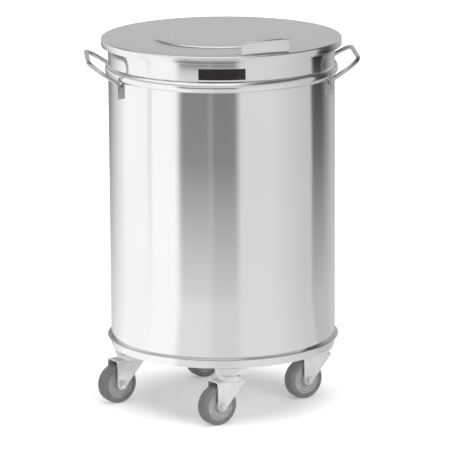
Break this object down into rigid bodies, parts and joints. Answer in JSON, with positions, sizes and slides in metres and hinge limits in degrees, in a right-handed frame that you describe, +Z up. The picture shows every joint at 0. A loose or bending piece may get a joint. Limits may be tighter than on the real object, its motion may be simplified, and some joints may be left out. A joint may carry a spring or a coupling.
{
  "type": "wheeled bucket",
  "caption": "Round sheet-steel bin with a lift-off lid, bar handles at its sides and swivel casters under its base, for carrying waste or linen.",
  "frame": {"origin": "on the floor below the middle of the round bin", "axes": "+Z up, the front faces -Y, the handles are at +X and -X"},
  "size_m": [0.553, 0.488, 0.7835],
  "materials": {
    "brushed_sheet": "bright brushed stainless sheet",
    "lid_sheet": "satin stainless sheet",
    "grip_sheet": "satin stainless sheet",
    "handle_bar": "polished stainless bar",
    "zinc": "bright zinc plate on pressed steel",
    "fastener": "zinc-plated",
    "bearing_steel": "polished",
    "tyre": "grey non-marking rubber",
    "wheel_core": "grey moulded polypropylene"
  },
  "bodies": {
    "bin": {"bin_wall": "brushed_sheet", "bin_floor": "brushed_sheet", "base_band": "brushed_sheet", "handle_left": "handle_bar", "handle_right": "handle_bar", "plate_bolts": "fastener", "plate_nuts": "fastener", "pad_front": "brushed_sheet", "plate_front": "zinc", "kingpin_front": "fastener", "pad_right": "brushed_sheet", "plate_right": "zinc", "kingpin_right": "fastener", "pad_back": "brushed_sheet", "plate_back": "zinc", "kingpin_back": "fastener", "pad_left": "brushed_sheet", "plate_left": "zinc", "kingpin_left": "fastener"},
    "lid": {"lid_sheet": "lid_sheet", "lid_grip": "grip_sheet", "grip_rivets": "fastener"},
    "fork_front": {"fork_front": "zinc", "axle_bush_front": "bearing_steel", "axle_bolt_front": "fastener", "axle_nut_front": "fastener", "balls_front": "bearing_steel"},
    "wheel_front": {"wheel_core_front": "wheel_core", "tyre_front": "tyre"},
    "fork_right": {"fork_right": "zinc", "axle_bush_right": "bearing_steel", "axle_bolt_right": "fastener", "axle_nut_right": "fastener", "balls_right": "bearing_steel"},
    "wheel_right": {"wheel_core_right": "wheel_core", "tyre_right": "tyre"},
    "fork_back": {"fork_back": "zinc", "axle_bush_back": "bearing_steel", "axle_bolt_back": "fastener", "axle_nut_back": "fastener", "balls_back": "bearing_steel"},
    "wheel_back": {"wheel_core_back": "wheel_core", "tyre_back": "tyre"},
    "fork_left": {"fork_left": "zinc", "axle_bush_left": "bearing_steel", "axle_bolt_left": "fastener", "axle_nut_left": "fastener", "balls_left": "bearing_steel"},
    "wheel_left": {"wheel_core_left": "wheel_core", "tyre_left": "tyre"}
  },
  "joints": [
    {"name": "lid_lift", "type": "slide", "parent": "bin", "child": "lid", "axis": [0, 0, 1], "range_m": [0, 0.12]},
    {"name": "swivel_front", "type": "hinge", "parent": "bin", "child": "fork_front", "pos_m": [0, -0.192, 0.09], "axis": [0, 0, 1], "continuous": true},
    {"name": "roll_front", "type": "hinge", "parent": "fork_front", "child": "wheel_front", "pos_m": [-0.02858, -0.2085, 0.04], "axis": [0.5, -0.866, 0], "continuous": true},
    {"name": "swivel_right", "type": "hinge", "parent": "bin", "child": "fork_right", "pos_m": [0.192, 0, 0.09], "axis": [0, 0, 1], "continuous": true},
    {"name": "roll_right", "type": "hinge", "parent": "fork_right", "child": "wheel_right", "pos_m": [0.16342, -0.0165, 0.04], "axis": [0.5, -0.866, 0], "continuous": true},
    {"name": "swivel_back", "type": "hinge", "parent": "bin", "child": "fork_back", "pos_m": [0, 0.192, 0.09], "axis": [0, 0, 1], "continuous": true},
    {"name": "roll_back", "type": "hinge", "parent": "fork_back", "child": "wheel_back", "pos_m": [-0.02858, 0.1755, 0.04], "axis": [0.5, -0.866, 0], "continuous": true},
    {"name": "swivel_left", "type": "hinge", "parent": "bin", "child": "fork_left", "pos_m": [-0.192, 0, 0.09], "axis": [0, 0, 1], "continuous": true},
    {"name": "roll_left", "type": "hinge", "parent": "fork_left", "child": "wheel_left", "pos_m": [-0.22058, -0.0165, 0.04], "axis": [0.5, -0.866, 0], "continuous": true}
  ]
}
